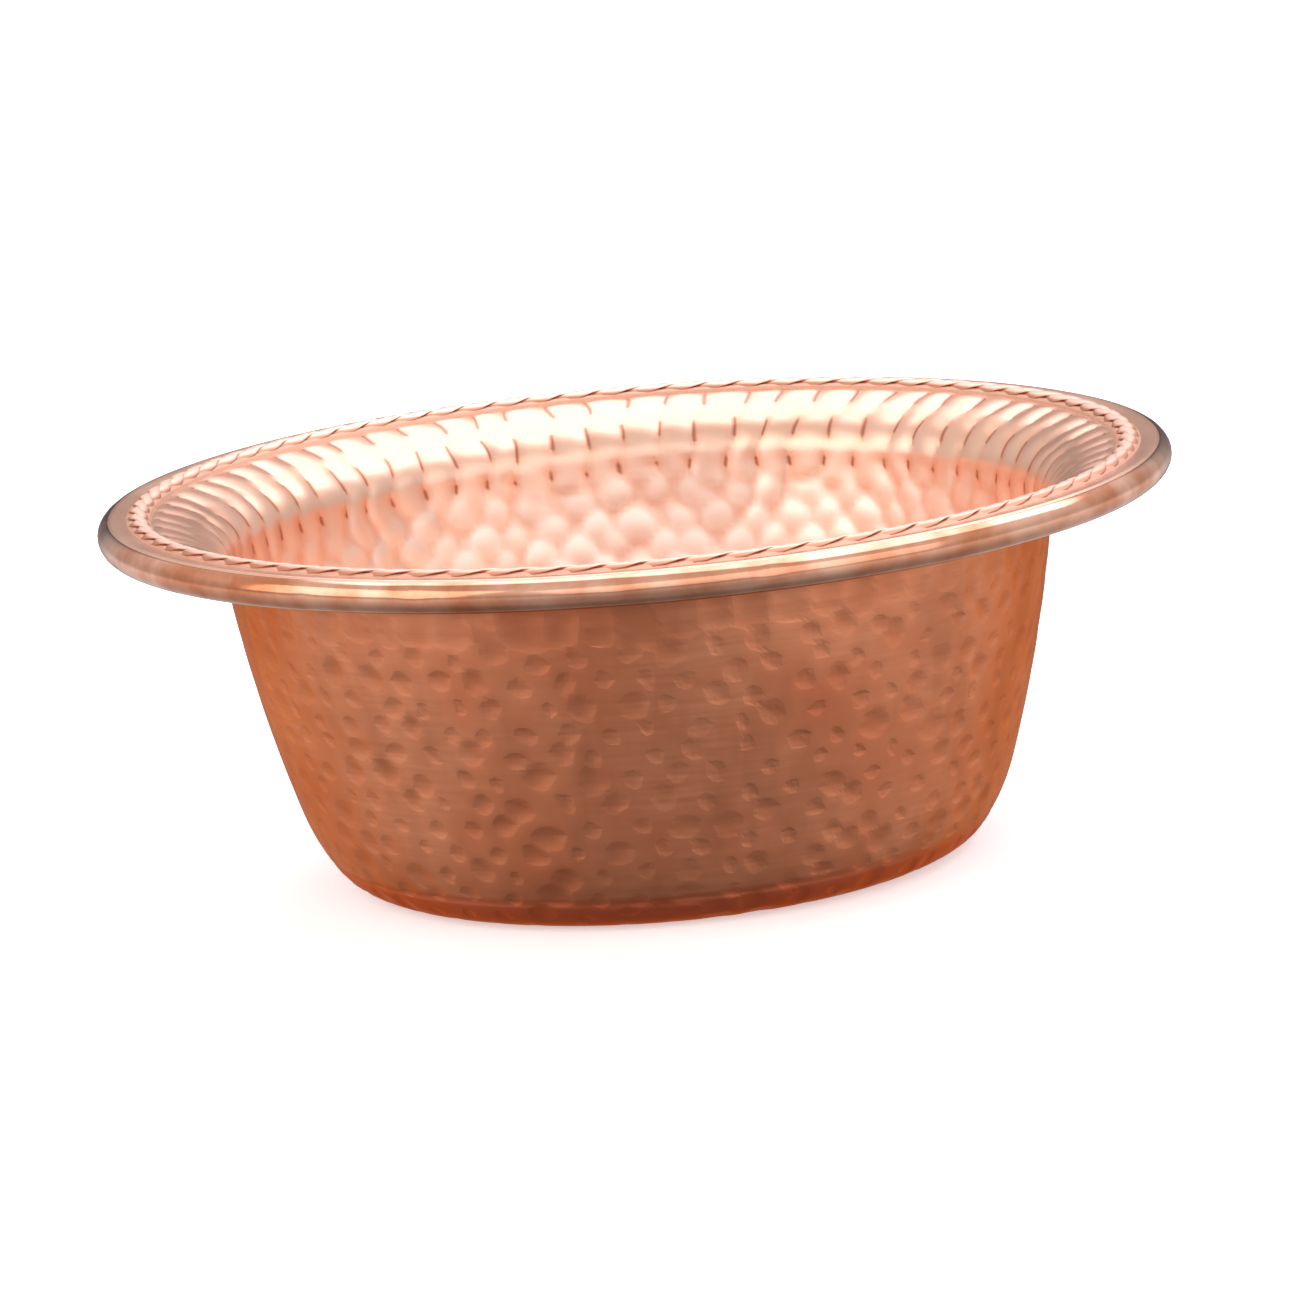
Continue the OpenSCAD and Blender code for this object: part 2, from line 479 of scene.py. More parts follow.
WANDER = 0.22 * 2 * math.pi / FLUTES
SLANTED_WANDER = 0.6 * WANDER
hand = theta + WANDER * ripple(theta, (3, 11, 17, 29), 51)
hand += SLANTED_WANDER * ripple(theta + s / 40, (13, 19), 53)
move = rise + np.where(inside, -groove, sink)
reach_now = radius - move * np.sin(heading)
points[:, 0] = reach_now * np.cos(hand)
points[:, 1] = reach_now * np.sin(hand)
points[:, 2] += move * np.cos(heading)

OUT_OF_ROUND = 0.25
free_wall = smooth_step(s, base_end, shoulder_end) * (1 - smooth_step(s, neck_end, flare_end))
inward = OUT_OF_ROUND * (0.5 + 0.5 * ripple(theta, (2, 3, 4), 21)) * free_wall
points[:, 0] -= inward * np.cos(hand)
points[:, 1] -= inward * np.sin(hand)
print(f"chased line {groove.max():.2f} mm deep, wall up to {inward.max():.2f} mm out of round")

# %% [markdown]
# ## Knocks on the bead
#
# The bead stands out furthest, so it takes the knocks. A few shallow flats, a millimetre or two wide,
# are pressed into its outer side at places drawn by lot, and a faint wave runs along it.

# %% Press the knocks in
on_bead = inside & (s > brim_end - 1)
KNOCKS, DEEPEST_KNOCK, BEAD_WAVE = 22, 0.3, 0.07
knock_theta = rng.uniform(-math.pi, math.pi, KNOCKS)
knock_s = rng.uniform(groove_s + 0.8, groove_s + 6, KNOCKS)
knock_width = rng.uniform(1.2, 3.2, KNOCKS)
knock_depth = rng.uniform(0.06, 0.22, KNOCKS)
pressed = np.zeros(len(points))
for at_theta, at_s, width, depth in zip(knock_theta, knock_s, knock_width, knock_depth):
    apart = (theta - at_theta + math.pi) % (2 * math.pi) - math.pi
    pressed += depth * np.exp(-((apart * rim_radius / width) ** 2) - ((s - at_s) / (0.5 * width)) ** 2)
wave = BEAD_WAVE * (1 + ripple(theta, (5, 9, 14, 23), 31)) * smooth_step(s, groove_s + 0.5, groove_s + 2)
pressed = np.where(on_bead, np.minimum(pressed, DEEPEST_KNOCK) + wave, 0.0)
points[:, 0] += pressed * np.sin(heading) * np.cos(hand)
points[:, 1] += pressed * np.sin(heading) * np.sin(hand)
points[:, 2] -= pressed * np.cos(heading)
place_points(hammered_sheet, points)
print(f"{KNOCKS} knocks, the deepest {pressed.max():.2f} mm")

# %% [markdown]
# ## Where the painted shade goes
#
# How far down a hollow each point lies is kept as a number on every point, 1 in a hollow and 0 on a
# crown, so that the materials can follow the real shape instead of guessing it from a pattern. The
# materials paint shade into the hollows with it, and outside the brown of the air in the dents as well.
# A second number is the way to the nearest blow, in millimetres, which lets the browned finish sharpen
# the edge of each dent.

# %% Store the hollows, and split the sheet by finish
hollow = np.where(inside, 1 - pillow * hammered_top - (1 - hammered_top), np.minimum(sink / DENT_DEPTH, 1))
# Only the creases between flutes are deep enough to get the painted dark line of shade, so the hollows
# among the pillows are capped below it
PILLOW_SHADE_CAP = 0.7
hollow = np.where(inside & (s < flute_foot + 2.5), np.minimum(hollow, PILLOW_SHADE_CAP), hollow)
for name, values in (("hollow", hollow), ("to_blow", np.where(inside, pillow_way, dent_way))):
    mark = hammered_sheet.data.attributes.new(name, "FLOAT", "POINT")
    mark.data.foreach_set("value", values.astype(np.float32))

# A face counts as past the chased line from this far before it
GROOVE_SLACK = 0.05
FINISHES = ("scoured", "polished", "browned")
SCOURED, POLISHED, BROWNED = range(len(FINISHES))


def face_finish(face):
    """The finish of one face: polished on the bead, scoured inside, browned outside."""
    places = [station[v] for v in face.vertices]
    if not face_inside[places].all():
        return BROWNED
    return POLISHED if min(face_s[places]) >= groove_s - GROOVE_SLACK else SCOURED


finish_of = [face_finish(face) for face in hammered_sheet.data.polygons]
print({name: finish_of.count(i) for i, name in enumerate(FINISHES)})

# %% [markdown]
# ## Crisp creases between the flutes
#
# Smooth shading rounds every edge, but two flutes meet in a line as crisp as a fold. The mesh was
# given six faces to a flute, so each crease lies on a column of edges, which is found by its place and
# marked sharp. Each tier's creases are one column further round.

# %% Mark the creases
# The creases end this far above the foot of the flutes
CREASE_END = 1.5
column = np.round(theta / (2 * math.pi) * AROUND).astype(int) % FACES_PER_FLUTE
tier = (s < flute_joint).astype(int) + (s < flute_waist)
on_flutes = inside & (s > flute_foot + CREASE_END) & (s < flute_top)
on_crease = on_flutes & (column == FACES_PER_FLUTE // 2 + tier)
ends_of = np.zeros(2 * len(hammered_sheet.data.edges), int)
hammered_sheet.data.edges.foreach_get("vertices", ends_of)
ends_of = ends_of.reshape(-1, 2)
across_ring = station[ends_of[:, 0]] != station[ends_of[:, 1]]
crease_edges = on_crease[ends_of].all(axis=1) & across_ring
alone(hammered_sheet)
bpy.ops.object.mode_set(mode="EDIT")
bpy.ops.mesh.select_mode(type="EDGE")
bpy.ops.mesh.select_all(action="DESELECT")
bpy.ops.object.mode_set(mode="OBJECT")
hammered_sheet.data.edges.foreach_set("select", crease_edges)
bpy.ops.object.mode_set(mode="EDIT")
bpy.ops.mesh.mark_sharp()
bpy.ops.object.mode_set(mode="OBJECT")
print(f"{int(crease_edges.sum())} crease edges marked sharp")

# %% [markdown]
# ## The rope border
#
# Two drawn wires are twisted together and then run through the rolls, which flattens the twist to
# about two millimetres. A torus is the right start, because it already closes on itself. Its points
# are then carried round the centre line of the rope, half a turn apart for the two strands, and the
# tops are pressed flat, as the rolls did. The strands are drawn a little too thick for their twist, so
# that they press into each other as rolled wires do, and no gap shows between them.

# %% Measure the rope on the brim
edge_r, edge_z = on_sheet(brim_end, sheet_t)[:2]


def brim_top(r):
    """Height of the brim's upper face at a radius."""
    return edge_z + (r - edge_r) * math.tan(BRIM_SLOPE)


strand_points = points_of(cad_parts["rope_strand_a"])
strand_reach = np.hypot(strand_points[:, 0], strand_points[:, 1])
strand_lift = (strand_points[:, 2] - brim_top(strand_reach)) * math.cos(BRIM_SLOPE)
rope_radius = (strand_reach.max() + strand_reach.min()) / 2
rope_half = (strand_reach.max() - strand_reach.min()) / 2
rope_lift = (strand_lift.max() + strand_lift.min()) / 2
rope_half_thick = (strand_lift.max() - strand_lift.min()) / 2
print(f"rope: radius {rope_radius:.2f}, {2 * rope_half:.2f} wide, "
      f"{2 * rope_half_thick:.2f} thick, lifted {rope_lift:.2f} mm")

# %% Twist and roll the strands
ROPE_TURNS = 41
# A torus takes no more than 256 segments round its ring
RING_SEGMENTS, STRAND_SIDES = 256, 14
# How thick a strand is for its twist, and how hard the rolls press it flat
STRAND_FILL, ROLLED = 1.3, 2.4
# How far the twist is uneven, and how round and how full the rolled crown is
UNEVEN_TWIST, CROWN_POWER, CROWN_LEAST, CROWN_MORE = 0.25, 2.5, 0.22, 0.63
rope_top = max(corner[2] for corner in cad_box) / MM


def add_strand(name, first_twist):
    """One strand of the rope: a torus whose points follow the flattened twist."""
    bpy.ops.object.select_all(action="DESELECT")
    bpy.ops.mesh.primitive_torus_add(
        major_segments=RING_SEGMENTS, minor_segments=STRAND_SIDES,
        major_radius=rope_radius * MM, minor_radius=rope_half / 2 * MM)
    strand = bpy.context.object
    strand.name = strand.data.name = name
    points = points_of(strand)
    around = np.arctan2(points[:, 1], points[:, 0])
    side = np.arctan2(points[:, 2], np.hypot(points[:, 0], points[:, 1]) - rope_radius)
    twist = first_twist + ROPE_TURNS * around + UNEVEN_TWIST * ripple(around, (3, 7, 12), 41)
    across = rope_half * (np.cos(twist) + STRAND_FILL * np.cos(side)) / (1 + STRAND_FILL)
    up = (np.sin(twist) + STRAND_FILL * np.sin(side)) / (1 + STRAND_FILL)
    bulge = np.sqrt(np.clip(1 - up ** 2, 0.04, 1))
    across = np.clip(across / bulge ** np.where(up < 0, 1.0, 0.5), -rope_half, rope_half)
    up = np.tanh(ROLLED * up) / math.tanh(ROLLED)
    crown = 1 - np.abs(across / rope_half) ** CROWN_POWER
    up = rope_half_thick * ((up + 1) * (CROWN_LEAST + CROWN_MORE * crown) - 1)
    reach = rope_radius + across * math.cos(BRIM_SLOPE) - up * math.sin(BRIM_SLOPE)
    height = (brim_top(rope_radius) + rope_lift / math.cos(BRIM_SLOPE)
              + across * math.sin(BRIM_SLOPE) + up * math.cos(BRIM_SLOPE))
    height = np.minimum(height, rope_top)
    place_points(strand, np.column_stack([reach * np.cos(around), reach * np.sin(around), height]))
    # How low each point lies on the strand; the rope's finish paints shade from it
    mark = strand.data.attributes.new("hollow", "FLOAT", "POINT")
    mark.data.foreach_set("value", np.clip(0.5 - up / rope_half_thick, 0, 1).astype(np.float32))
    bpy.ops.object.mode_set(mode="EDIT")
    bpy.ops.mesh.select_all(action="SELECT")
    bpy.ops.mesh.normals_make_consistent(inside=False)
    bpy.ops.object.mode_set(mode="OBJECT")
    bpy.ops.object.shade_smooth()
    print(f"{name}: {count_triangles(strand)} triangles")
    return strand


rolled_strands = [add_strand("rolled_strand_a", 0.0), add_strand("rolled_strand_b", math.pi)]

# %% [markdown]
# ## The solder under the rope
#
# Hard solder runs into the corner on both sides of the rope and sets there as a little slope. Without
# it the rope would seem to float on a dark gap. It also fills the hollow between the strands. The bed is
# spun from a section whose last point lies on its first, so that the ring closes.

# %% Spin the solder bed
# How far the slopes reach out beside the rope and up it, and how high the core fills it
FILLET_FOOT, FILLET_TOP, CORE_TOP = 0.5, 0.65, 1.0
# How far under the rope the slope and the core end, and how far the bed stays off the brim
FILLET_IN, CORE_IN, OFF_BRIM = 0.15, 0.9, 0.02
BED_STEPS = 240
foot, slope, core = rope_half + FILLET_FOOT, rope_half - FILLET_IN, rope_half - CORE_IN
bed_across = np.array([-foot, foot, slope, core, -core, -slope])
bed_up = np.array([OFF_BRIM, OFF_BRIM, FILLET_TOP, CORE_TOP, CORE_TOP, FILLET_TOP])
bed_r = rope_radius + bed_across * math.cos(BRIM_SLOPE) - bed_up * math.sin(BRIM_SLOPE)
bed_z = brim_top(rope_radius) + bed_across * math.sin(BRIM_SLOPE) + bed_up * math.cos(BRIM_SLOPE)
solder_bed = spin_section("solder_bed", np.append(bed_r, bed_r[0]), np.append(bed_z, bed_z[0]), BED_STEPS)
print(f"solder_bed: {count_triangles(solder_bed)} triangles")

# %% [markdown]
# ## Helpers for the finishes
#
# Colours are picked as sRGB hex values, as on any colour chart, and the shader wants them linear, so
# one function turns them. Another adds a node, sets its properties and links what feeds it. Every
# pattern reads Object coordinates in metres, so its scale is one over a real size.

# %% Colour and node helpers
def colour(hex_value):
    """An sRGB hex colour as linear red, green, blue and alpha."""
    channels = [int(hex_value[i:i + 2], 16) / 255 for i in (1, 3, 5)]
    return [c / 12.92 if c <= 0.04045 else ((c + 0.055) / 1.055) ** 2.4 for c in channels] + [1.0]


def add(tree, kind, inputs=None, **settings):
    """Add a node, set its properties, and give each input its value or the socket that feeds it."""
    node = tree.nodes.new("ShaderNode" + kind)
    for name, value in settings.items():
        setattr(node, name, value)
    for key, value in (inputs or {}).items():
        if isinstance(value, bpy.types.NodeSocket):
            tree.links.new(value, node.inputs[key])
        else:
            node.inputs[key].default_value = value
    return node


def new_finish(name):
    """An empty metal: its material, its tree, its shader and the Object coordinates it may read."""
    material = bpy.data.materials.new(name)
    material.use_nodes = True
    tree = material.node_tree
    shader = tree.nodes["Principled BSDF"]
    shader.inputs["Metallic"].default_value = 1.0
    place = tree.nodes.new("ShaderNodeTexCoord").outputs["Object"]
    return material, tree, shader, place


def per_mm(size):
    """Scale of a pattern whose features are that many millimetres across."""
    return 1 / (size * MM)


# %% [markdown]
# ## Scoured copper, inside
#
# Copper that has been scoured with sand and lemon is pale and satin, not mirror bright. It gives broad
# soft highlights. Shade is painted into the valleys between the pillows as a warmer, darker orange, and
# into the creases between the flutes as a darker line still. The flare is a shade browner than the wall,
# the bottom, where things stand, is browner again, and fine scratches go every way. The scratches of the
# real grit are about a tenth of a millimetre apart, too fine to show, so they are drawn at half a
# millimetre.

# %% Scoured copper
# Heights where the browner tones of the flare and of the bottom begin, and where they are full
FLARE_FROM, FLARE_FULL = 66 * MM, 86 * MM
BOTTOM_FROM, BOTTOM_FULL = 22 * MM, 5 * MM


def scoured_copper():
    material, tree, shader, place = new_finish("scoured copper, satin")
    depth = add(tree, "Attribute", attribute_name="hollow").outputs["Fac"]
    clouds = add(tree, "TexNoise", {"Vector": place, "Scale": per_mm(22), "Detail": 4.0}).outputs["Fac"]
    # Painted shade: the valleys between the pillows turn a warmer, darker orange
    valley_shade = add(tree, "MapRange", {"Value": depth, "From Min": 0.4, "From Max": 0.95}).outputs["Result"]
    height = add(tree, "SeparateXYZ", {"Vector": place}).outputs["Z"]
    up_flare = add(tree, "MapRange", {"Value": height, "From Min": FLARE_FROM,
                                      "From Max": FLARE_FULL}).outputs["Result"]
    low = add(tree, "Mix", {0: clouds, 6: colour("#fad8c5"), 7: colour("#fde5d7")}, data_type="RGBA")
    high = add(tree, "Mix", {0: clouds, 6: colour("#e3a888"), 7: colour("#f0bea2")}, data_type="RGBA")
    wall = add(tree, "Mix", {0: up_flare, 6: low.outputs[2], 7: high.outputs[2]}, data_type="RGBA")
    on_bottom = add(tree, "MapRange", {"Value": height, "From Min": BOTTOM_FROM,
                                       "From Max": BOTTOM_FULL}).outputs["Result"]
    clean = add(tree, "Mix", {0: on_bottom, 6: wall.outputs[2], 7: colour("#d99775")}, data_type="RGBA")
    toned = add(tree, "Mix", {0: valley_shade, 6: clean.outputs[2], 7: colour("#ecae90")}, data_type="RGBA")
    # Painted shade: the creases between the flutes are drawn as a dark line
    crease = add(tree, "MapRange", {"Value": depth, "From Min": 0.74, "From Max": 1.0},
                 interpolation_type="SMOOTHSTEP").outputs["Result"]
    crease_shaded = add(tree, "Mix", {0: crease, 6: toned.outputs[2], 7: colour("#b0705a")}, data_type="RGBA")
    tree.links.new(crease_shaded.outputs[2], shader.inputs["Base Color"])
    rough = add(tree, "MapRange", {"Value": clouds, "To Min": 0.27, "To Max": 0.38})
    tree.links.new(rough.outputs["Result"], shader.inputs["Roughness"])
    scratches = add(tree, "TexNoise", {"Vector": place, "Scale": per_mm(0.5), "Detail": 2.0})
    bump = add(tree, "Bump", {"Height": scratches.outputs["Fac"], "Strength": 0.12, "Distance": 0.05 * MM})
    tree.links.new(bump.outputs["Normal"], shader.inputs["Normal"])
    return material


# %% [markdown]
# ## Polished copper, on the bead
#
# The bead is handled and wiped most, so it is the smoothest metal on the bowl and carries the one
# sharp highlight. Where it is wiped often it is pale, and between those places it keeps a deeper
# orange, in patches of about 14 mm. The marks of wiping are too fine to show, so they are drawn as a
# slight unevenness of about a millimetre.

# %% Polished copper
def polished_copper():
    material, tree, shader, place = new_finish("polished copper, wiped")
    clouds = add(tree, "TexNoise", {"Vector": place, "Scale": per_mm(14), "Detail": 5.0}).outputs["Fac"]
    patchy = add(tree, "MapRange", {"Value": clouds, "From Min": 0.35, "From Max": 0.65}).outputs["Result"]
    tone = add(tree, "Mix", {0: patchy, 6: colour("#d0815b"), 7: colour("#f1ba9f")}, data_type="RGBA")
    tree.links.new(tone.outputs[2], shader.inputs["Base Color"])
    rough = add(tree, "MapRange", {"Value": clouds, "To Min": 0.08, "To Max": 0.19})
    tree.links.new(rough.outputs["Result"], shader.inputs["Roughness"])
    fine = add(tree, "TexNoise", {"Vector": place, "Scale": per_mm(0.9), "Detail": 3.0})
    bump = add(tree, "Bump", {"Height": fine.outputs["Fac"], "Strength": 0.1, "Distance": 0.05 * MM})
    tree.links.new(bump.outputs["Normal"], shader.inputs["Normal"])
    return material


# %% [markdown]
# ## Browned copper, outside
#
# Outside, years of air have browned the copper. The brown is thickest in soft patches where the bowl was
# planished, thinner on the crowns, and a warmer orange-red below the line above the heel, where the table
# rubs it. The dents are painted darker, partly the brown of the air and partly painted shade. Turning marks
# from the polishing lathe run level round the wall. They are 0.1 mm apart on the real bowl and are drawn
# 1.1 mm apart, and about 18 mm long, so that they show. Broader darker runs stand upright under the bead.
# The edge of each dent is sharpened with a bump, because the mesh is too coarse to fold there.

# %% Browned copper
# Scale of the turning marks along the wall, per metre, and the heights where the rubbed heel begins
# and where it is full
STREAK_ROUND = 55.0
HEEL_FROM, HEEL_FULL = 9.5 * MM, 6 * MM


def browned_copper():
    material, tree, shader, place = new_finish("browned copper, air-toned")
    shader.inputs["Specular Tint"].default_value = colour("#f3bd9f")
    depth = add(tree, "Attribute", attribute_name="hollow").outputs["Fac"]
    height = add(tree, "SeparateXYZ", {"Vector": place}).outputs["Z"]
    patches = add(tree, "TexNoise", {"Vector": place, "Scale": per_mm(38), "Detail": 4.0, "Roughness": 0.6})
    blotch = add(tree, "MapRange", {"Value": patches.outputs["Fac"], "From Min": 0.38, "From Max": 0.62})
    ringed = add(tree, "Mapping", {"Vector": place, "Scale": (STREAK_ROUND, STREAK_ROUND, per_mm(1.1))})
    streaks = add(tree, "TexNoise", {"Vector": ringed.outputs["Vector"], "Scale": 1.0, "Detail": 2.0})
    skin = add(tree, "Mix", {0: blotch.outputs["Result"], 6: colour("#d47a56"), 7: colour("#f0a17b")},
               data_type="RGBA")
    streaked = add(tree, "Mix", {0: streaks.outputs["Fac"], 6: colour("#da835d"), 7: skin.outputs[2]},
                   data_type="RGBA")
    upright = add(tree, "Mapping", {"Vector": place, "Scale": (per_mm(15), per_mm(15), per_mm(60))})
    runs = add(tree, "TexNoise", {"Vector": upright.outputs["Vector"], "Scale": 1.0, "Detail": 3.0})
    worn = add(tree, "MapRange", {"Value": runs.outputs["Fac"], "From Min": 0.5, "From Max": 0.68,
                                  "To Max": 0.4})
    patched = add(tree, "Mix", {0: worn.outputs["Result"], 6: streaked.outputs[2], 7: colour("#b06c4e")},
                  data_type="RGBA")
    # Painted shade in the dents, partly the brown of the air: the deeper a point lies, the darker
    dent = add(tree, "MapRange", {"Value": depth, "From Min": 0.1, "From Max": 0.9, "To Max": 0.35})
    dented = add(tree, "Mix", {0: dent.outputs["Result"], 6: patched.outputs[2], 7: colour("#b4623f")},
                 data_type="RGBA")
    rubbed = add(tree, "MapRange", {"Value": height, "From Min": HEEL_FROM, "From Max": HEEL_FULL,
                                    "To Max": 0.85})
    toned = add(tree, "Mix", {0: rubbed.outputs["Result"], 6: dented.outputs[2], 7: colour("#de6645")},
                data_type="RGBA")
    tree.links.new(toned.outputs[2], shader.inputs["Base Color"])
    rough = add(tree, "MapRange", {"Value": streaks.outputs["Fac"], "To Min": 0.28, "To Max": 0.46})
    tree.links.new(rough.outputs["Result"], shader.inputs["Roughness"])
    brushed = add(tree, "Bump", {"Height": streaks.outputs["Fac"], "Strength": 0.06, "Distance": 0.08 * MM})
    way = add(tree, "Attribute", attribute_name="to_blow").outputs["Fac"]
    bowl = add(tree, "MapRange", {"Value": way, "From Max": DENT_REACH}).outputs["Result"]
    dished = add(tree, "Math", {0: bowl, 1: 2.0}, operation="POWER")
    crisp = add(tree, "Bump", {"Height": dished.outputs["Value"], "Strength": 0.85,
                               "Distance": DENT_DEPTH / 2 * MM, "Normal": brushed.outputs["Normal"]})
    tree.links.new(crisp.outputs["Normal"], shader.inputs["Normal"])
    return material


# %% [markdown]
# ## Rolled copper, drawn copper and solder
#
# The rope's crowns stay pale, and shade is painted in darker towards the strands' undersides and the
# grooves between them. The wire inside the roll is drawn copper, dull and darker, and shows only at the
# cut edge. The bed under the rope is a hard solder made for copper, nearly its colour, matt and filed
# level.

# %% Rolled copper, drawn copper and solder
def rolled_copper():
    material, tree, shader, place = new_finish("rolled copper, shaded low")
    depth = add(tree, "Attribute", attribute_name="hollow").outputs["Fac"]
    # Painted shade: the strands darken towards their undersides and the grooves between them
    under_shade = add(tree, "MapRange", {"Value": depth, "From Min": 0.15, "From Max": 0.6}).outputs["Result"]
    tone = add(tree, "Mix", {0: under_shade, 6: colour("#f3c6af"), 7: colour("#c98a6c")}, data_type="RGBA")
    tree.links.new(tone.outputs[2], shader.inputs["Base Color"])
    grain = add(tree, "TexNoise", {"Vector": place, "Scale": per_mm(3), "Detail": 3.0}).outputs["Fac"]
    rough = add(tree, "MapRange", {"Value": grain, "To Min": 0.42, "To Max": 0.55})
    tree.links.new(rough.outputs["Result"], shader.inputs["Roughness"])
    return material


def drawn_copper():
    material, tree, shader, place = new_finish("drawn copper wire, dull")
    grain = add(tree, "TexNoise", {"Vector": place, "Scale": per_mm(4), "Detail": 4.0}).outputs["Fac"]
    tone = add(tree, "Mix", {0: grain, 6: colour("#8a4c34"), 7: colour("#b87252")}, data_type="RGBA")
    tree.links.new(tone.outputs[2], shader.inputs["Base Color"])
    rough = add(tree, "MapRange", {"Value": grain, "To Min": 0.35, "To Max": 0.5})
    tree.links.new(rough.outputs["Result"], shader.inputs["Roughness"])
    return material


def hard_solder():
    material, tree, shader, place = new_finish("hard solder, filed matt")
    grain = add(tree, "TexNoise", {"Vector": place, "Scale": per_mm(1.5), "Detail": 4.0}).outputs["Fac"]
    tone = add(tree, "Mix", {0: grain, 6: colour("#cf9a7e"), 7: colour("#e2b298")}, data_type="RGBA")
    tree.links.new(tone.outputs[2], shader.inputs["Base Color"])
    rough = add(tree, "MapRange", {"Value": grain, "To Min": 0.5, "To Max": 0.7})
    tree.links.new(rough.outputs["Result"], shader.inputs["Roughness"])
    return material


# %% Put the finishes on
for make_finish in (scoured_copper, polished_copper, browned_copper):
    hammered_sheet.data.materials.append(make_finish())
hammered_sheet.data.polygons.foreach_set("material_index", finish_of)
alone(hammered_sheet)
bpy.ops.object.shade_smooth()
rope_finish = rolled_copper()
for strand in rolled_strands:
    strand.data.materials.append(rope_finish)
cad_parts["rim_wire"].material_slots[0].material = drawn_copper()
solder_bed.data.materials.append(hard_solder())
print("finishes:", ", ".join(material.name for material in hammered_sheet.data.materials))

# %% [markdown]
# ## What stands for what
#
# The hammered sheet, the two rolled strands and the solder bed stand for their smooth CAD solids. The
# wire is right as it is, so the CAD piece stays.

# %% Ride and replace
for piece, node, slot in (
    (hammered_sheet, "bowl_shell", "hammered_copper"),
    (rolled_strands[0], "rope_strand_a", "rope_copper"),
    (rolled_strands[1], "rope_strand_b", "rope_copper"),
    (solder_bed, "rope_solder", "solder"),
):
    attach(piece, "root")
    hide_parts(node)

# %% [markdown]
# ## Floor and light
#
# The floor is plain and white. Metal shows what it mirrors, so what stands round the bowl matters more
# than how bright the lamps are. A broad, slightly cool softbox overhead fills the inside and lights the
# bead, and two weaker ones in front and to the left lift the outside. The sky is a soft grey, dark
# underfoot, palest just under the horizon and dimmer at it. Two dark flags in it, one low in front and
# one level behind, keep the outside and the ends of the brim from washing out. The floor is kept out
# of the reflections, so that the heel mirrors the dark sky underfoot and keeps its deep colour.

# %% Floor
bpy.ops.object.select_all(action="DESELECT")
bpy.ops.mesh.primitive_plane_add(size=14, location=(0, 0, -0.1 * MM))
floor = bpy.context.object
floor.name = "studio_floor"
floor_paint = bpy.data.materials.new("matt white floor")
floor_paint.use_nodes = True
floor_shader = floor_paint.node_tree.nodes["Principled BSDF"]
floor_shader.inputs["Base Color"].default_value = colour("#fafafa")
floor_shader.inputs["Roughness"].default_value = 0.9
floor_shader.inputs["Specular IOR Level"].default_value = 0.0
floor_shader.inputs["Emission Color"].default_value = colour("#ffffff")
floor_shader.inputs["Emission Strength"].default_value = 0.45
floor.data.materials.append(floor_paint)
floor.visible_glossy = False

# %% Sky
sky = bpy.data.worlds.new("studio")
bpy.context.scene.world = sky
sky.use_nodes = True
sky_tree = sky.node_tree
toward = add(sky_tree, "TexCoord").outputs["Generated"]
up = add(sky_tree, "SeparateXYZ", {"Vector": toward}).outputs["Z"]
band = add(sky_tree, "MapRange", {"Value": up, "From Min": -1.0, "From Max": 1.0}).outputs["Result"]
ramp = add(sky_tree, "ValToRGB", {"Fac": band})
SKY_STOPS = ((0.0, 0.2), (0.2, 0.55), (0.42, 0.95), (0.5, 0.62), (0.6, 0.68), (0.75, 0.9), (1.0, 0.8))
# A new ramp already has its first and last stop
for position, level in SKY_STOPS[1:-1]:
    ramp.color_ramp.elements.new(position)
for element, (position, level) in zip(ramp.color_ramp.elements, SKY_STOPS):
    element.position = position
    element.color = (level, level, level, 1.0)
sky_tree.links.new(ramp.outputs["Color"], sky_tree.nodes["Background"].inputs["Color"])
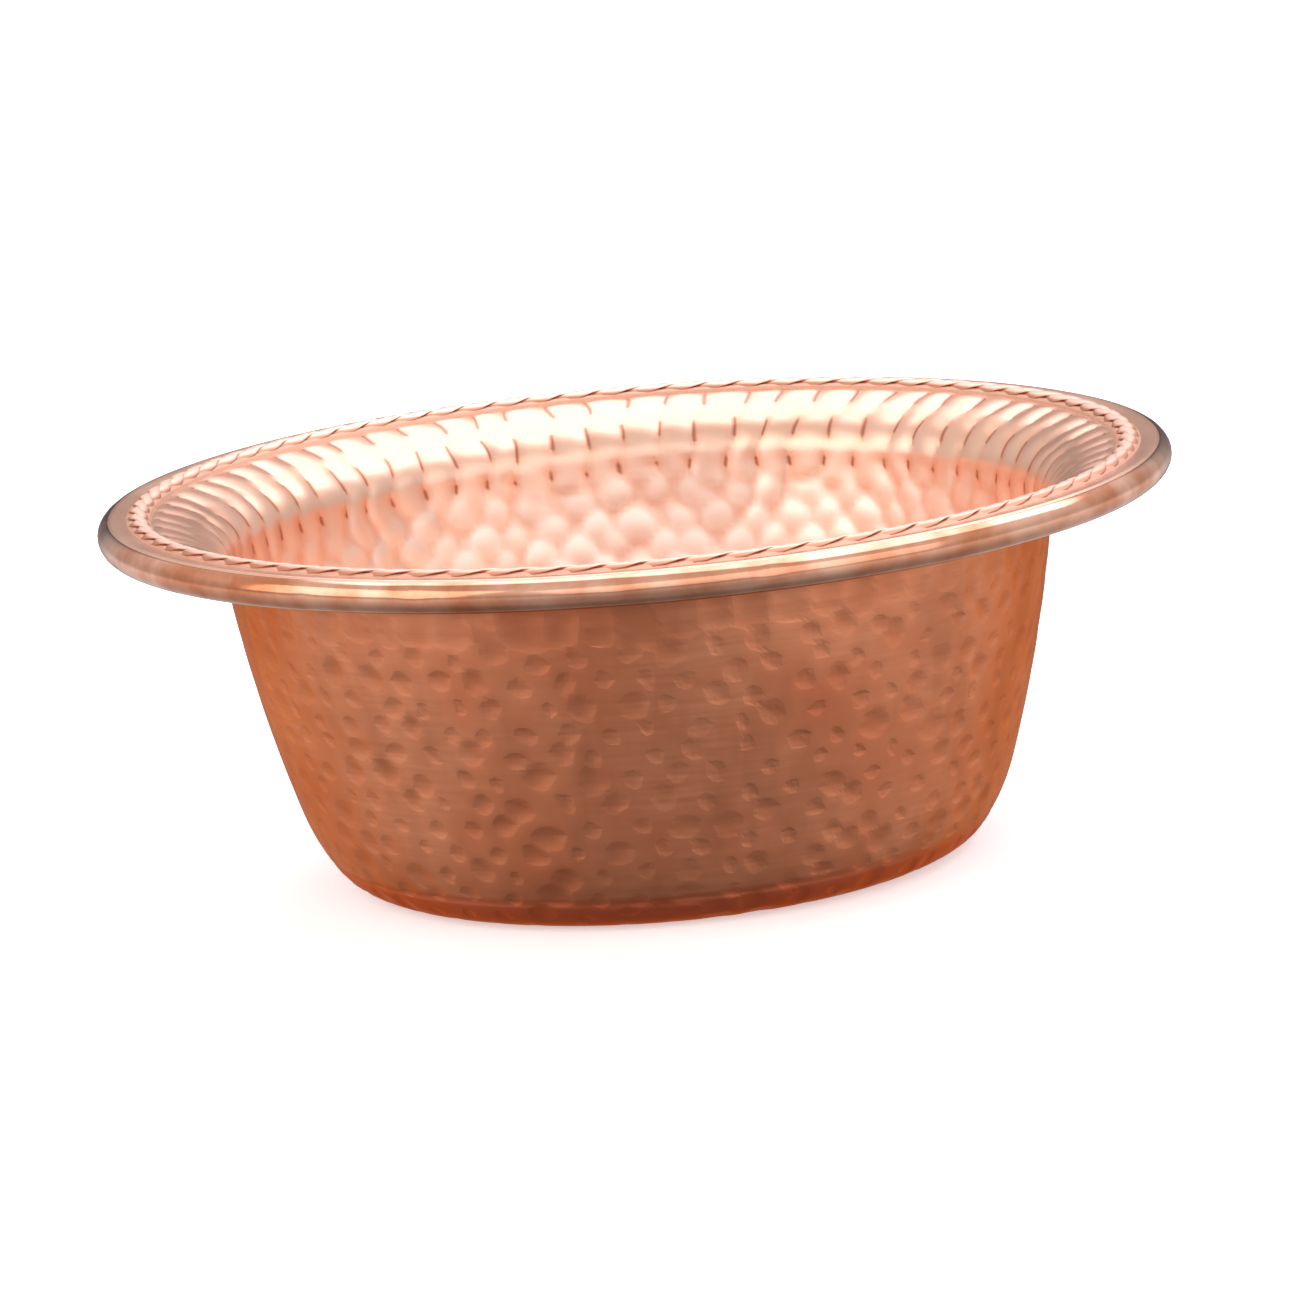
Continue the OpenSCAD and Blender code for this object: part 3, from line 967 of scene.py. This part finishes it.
# Dark flags: which way each stands, the cosine where its edge begins, and how dim it is at its middle
FLAGS = (((0.0, -0.95, -0.3), 0.7, 0.62), ((0.0, 1.0, 0.03), 0.82, 0.2))
strength = 1.0
for way, edge, level in FLAGS:
    facing = add(sky_tree, "VectorMath", {0: toward, 1: way}, operation="DOT_PRODUCT").outputs["Value"]
    shade = add(sky_tree, "MapRange", {"Value": facing, "From Min": edge, "To Min": 1.0, "To Max": level},
                interpolation_type="SMOOTHSTEP")
    strength = add(sky_tree, "Math", {0: shade.outputs["Result"], 1: strength},
                   operation="MULTIPLY").outputs["Value"]
sky_tree.links.new(strength, sky_tree.nodes["Background"].inputs["Strength"])
print(f"sky in {len(SKY_STOPS)} greys, {len(FLAGS)} dark flags")

# %% Softboxes
COOL = (0.93, 0.99, 1.2)


def add_softbox(name, place, target, width, depth, watts, tint=(1.0, 1.0, 1.0)):
    """A rectangular softbox that faces a target."""
    bpy.ops.object.light_add(type="AREA", location=place)
    lamp = bpy.context.object
    lamp.name = name
    lamp.data.shape = "RECTANGLE"
    lamp.data.size = width
    lamp.data.size_y = depth
    lamp.data.energy = watts
    lamp.data.color = tint
    lamp.rotation_euler = (Vector(target) - Vector(place)).to_track_quat("-Z", "Y").to_euler()
    return lamp


add_softbox("ceiling_softbox", (0.35, 0.6, 1.6), (0, 0, 0), 2.4, 1.9, 28, COOL)
add_softbox("front_softbox", (0.9, -2.1, 1.0), (0, 0, 0.06), 4.2, 1.6, 14)
add_softbox("left_softbox", (-2.0, -1.0, 1.1), (0, 0, 0.06), 2.4, 1.6, 15)

# %% [markdown]
# ## Camera
#
# A long lens from a metre and a half away, looking down about twelve degrees and tilted a little, so
# that the bowl's right side rises.

# %% Camera
CAMERA_DISTANCE, LENS = 1.5, 177.3
LOOK_DOWN, CAMERA_ROLL = math.radians(11.74), math.radians(4.74)
AIM = Vector((0.9, 0, 48.1)) * MM
back = Vector((0, -math.cos(LOOK_DOWN), math.sin(LOOK_DOWN)))
bpy.ops.object.camera_add(location=AIM + back * CAMERA_DISTANCE)
camera = bpy.context.object
camera.rotation_mode = "ZYX"
camera.rotation_euler = (math.pi / 2 - LOOK_DOWN, 0, -CAMERA_ROLL)
camera.data.lens = LENS
camera.data.clip_start = 0.01
bpy.context.scene.camera = camera
bpy.context.scene.view_settings.view_transform = "Standard"
